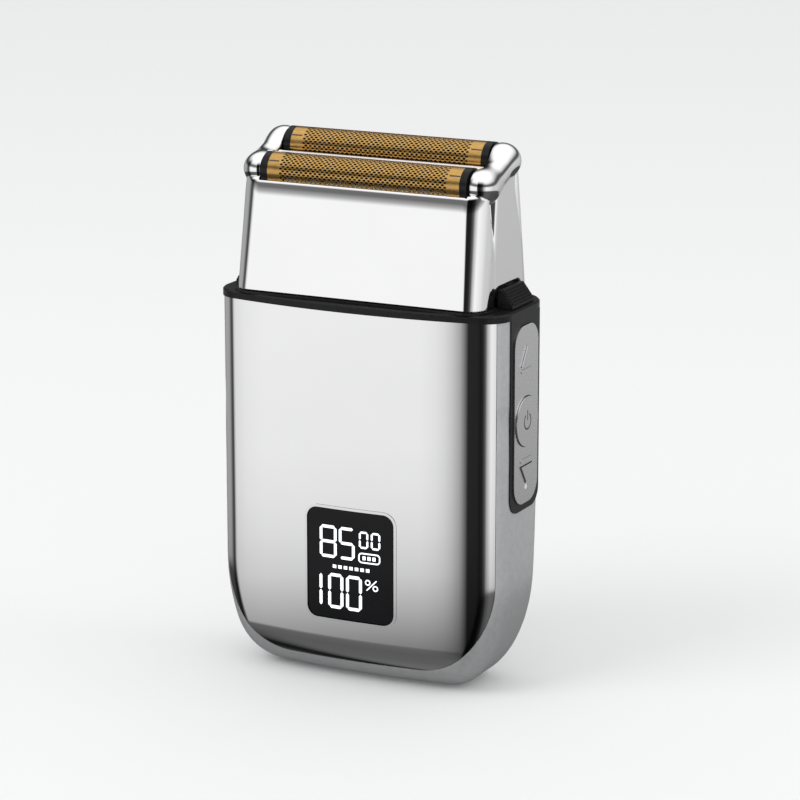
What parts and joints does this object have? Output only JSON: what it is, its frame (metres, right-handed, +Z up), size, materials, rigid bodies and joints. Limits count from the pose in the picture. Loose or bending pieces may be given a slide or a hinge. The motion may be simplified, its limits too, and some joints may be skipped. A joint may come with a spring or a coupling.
{
  "type": "foil shaver",
  "caption": "Upright electric foil shaver with a tapered chrome body, dark display window, side button strip and a canted, pull-off head with floating perforated foils.",
  "frame": {"origin": "on the flat base, under the middle of the body", "axes": "+Z up towards the foils, -Y out of the display face, +X out of the button side"},
  "size_m": [0.0646, 0.0294, 0.1104],
  "materials": {
    "chrome": "polished mirror plating",
    "satin_band": "satin, bead blasted",
    "black_satin": "satin black moulded",
    "black_cap": "semi-gloss black moulded",
    "bright_trim": "polished",
    "display_black": "gloss black window",
    "satin_plate": "satin silver",
    "lens": "clear dot",
    "gold_foil": "gold coated perforated foil",
    "blade_steel": "ground",
    "drive_plastic": "natural acetal",
    "frame_plastic": "black moulded",
    "board": "solder mask",
    "chips": "moulded package",
    "battery_wrap": "shrink sleeve",
    "motor_steel": "plated",
    "magnet": "sintered",
    "copper_bronze": "copper and bronze",
    "seal_rubber": "soft rubber",
    "spring_steel": "spring wire"
  },
  "bodies": {
    "housing": {"front_shell": "chrome", "rear_shell": "chrome", "side_band": "satin_band", "top_collar": "black_satin", "display_bezel": "bright_trim", "display_window": "display_black", "display_module": "frame_plastic", "main_board": "board", "board_chips": "chips", "battery": "battery_wrap", "chassis": "frame_plastic", "deck_screws": "motor_steel", "motor_can": "motor_steel", "motor_cap": "motor_steel", "motor_bushes": "copper_bronze", "motor_magnets": "magnet", "motor_screws": "motor_steel", "shaft_seal": "seal_rubber", "button_panel": "satin_plate", "indicator_lens": "lens", "key_board": "board", "key_switches": "frame_plastic", "charge_socket": "motor_steel", "charge_tongue": "frame_plastic", "charge_board": "board", "release_spring_left": "spring_steel", "release_spring_right": "spring_steel"},
    "rotor": {"rotor_shaft": "motor_steel", "rotor_armature": "copper_bronze", "eccentric": "drive_plastic"},
    "power_key": {"power_button": "satin_plate"},
    "speed_up_key": {"speed_up_button": "satin_plate"},
    "speed_down_key": {"speed_down_button": "satin_plate"},
    "release_left": {"release_button_left": "black_satin"},
    "release_right": {"release_button_right": "black_satin"},
    "head": {"head_frame": "chrome", "divider_bar": "bright_trim", "head_chassis": "frame_plastic", "guide_rods": "motor_steel", "bridge_springs": "spring_steel", "front_foil_springs": "spring_steel", "rear_foil_springs": "spring_steel"},
    "bridge": {"drive_bridge": "drive_plastic", "front_cutter_spring": "spring_steel", "rear_cutter_spring": "spring_steel"},
    "front_foil_unit": {"front_foil": "gold_foil", "front_foil_frame": "black_cap"},
    "rear_foil_unit": {"rear_foil": "gold_foil", "rear_foil_frame": "black_cap"},
    "front_cutter": {"front_cutter_blades": "blade_steel", "front_cutter_carrier": "drive_plastic"},
    "rear_cutter": {"rear_cutter_blades": "blade_steel", "rear_cutter_carrier": "drive_plastic"}
  },
  "joints": [
    {"name": "rotor_spin", "type": "hinge", "parent": "housing", "child": "rotor", "pos_m": [0, 0.0026, 0.06], "axis": [0, 0, 1], "continuous": true},
    {"name": "power_press", "type": "slide", "parent": "housing", "child": "power_key", "axis": [-1, 0, 0], "range_m": [0, 0.0004], "stiffness_N_per_m": 1500, "springref_m": -0.0002},
    {"name": "speed_up_press", "type": "slide", "parent": "housing", "child": "speed_up_key", "axis": [-1, 0, 0], "range_m": [0, 0.0004], "stiffness_N_per_m": 1500, "springref_m": -0.0002},
    {"name": "speed_down_press", "type": "slide", "parent": "housing", "child": "speed_down_key", "axis": [-1, 0, 0], "range_m": [0, 0.0004], "stiffness_N_per_m": 1500, "springref_m": -0.0002},
    {"name": "release_left_press", "type": "slide", "parent": "housing", "child": "release_left", "axis": [1, 0, 0], "range_m": [0, 0.001], "stiffness_N_per_m": 1500, "springref_m": -0.0004, "deforming": ["release_spring_left"]},
    {"name": "release_right_press", "type": "slide", "parent": "housing", "child": "release_right", "axis": [-1, 0, 0], "range_m": [0, 0.001], "stiffness_N_per_m": 1500, "springref_m": -0.0004, "deforming": ["release_spring_right"]},
    {"name": "head_pull_off", "type": "slide", "parent": "housing", "child": "head", "axis": [0, 0, 1], "range_m": [0, 0.03]},
    {"name": "bridge_shuttle", "type": "slide", "parent": "head", "child": "bridge", "axis": [1, 0, 0], "range_m": [-0.0012, 0.0012], "stiffness_N_per_m": 1200, "deforming": ["bridge_springs"]},
    {"name": "front_foil_float", "type": "slide", "parent": "head", "child": "front_foil_unit", "axis": [0, 0, -1], "range_m": [0, 0.001], "stiffness_N_per_m": 800, "springref_m": -0.001, "deforming": ["front_foil_springs"]},
    {"name": "rear_foil_float", "type": "slide", "parent": "head", "child": "rear_foil_unit", "axis": [0, 0, -1], "range_m": [0, 0.001], "stiffness_N_per_m": 800, "springref_m": -0.001, "deforming": ["rear_foil_springs"]},
    {"name": "front_cutter_float", "type": "slide", "parent": "bridge", "child": "front_cutter", "axis": [0, 0, -1], "range_m": [0, 0.001], "deforming": ["front_cutter_spring"]},
    {"name": "rear_cutter_float", "type": "slide", "parent": "bridge", "child": "rear_cutter", "axis": [0, 0, -1], "range_m": [0, 0.001], "deforming": ["rear_cutter_spring"]}
  ],
  "couplings": [
    {"joint": "front_cutter_float", "follows": "front_foil_float", "ratio": 1},
    {"joint": "rear_cutter_float", "follows": "rear_foil_float", "ratio": 1}
  ]
}
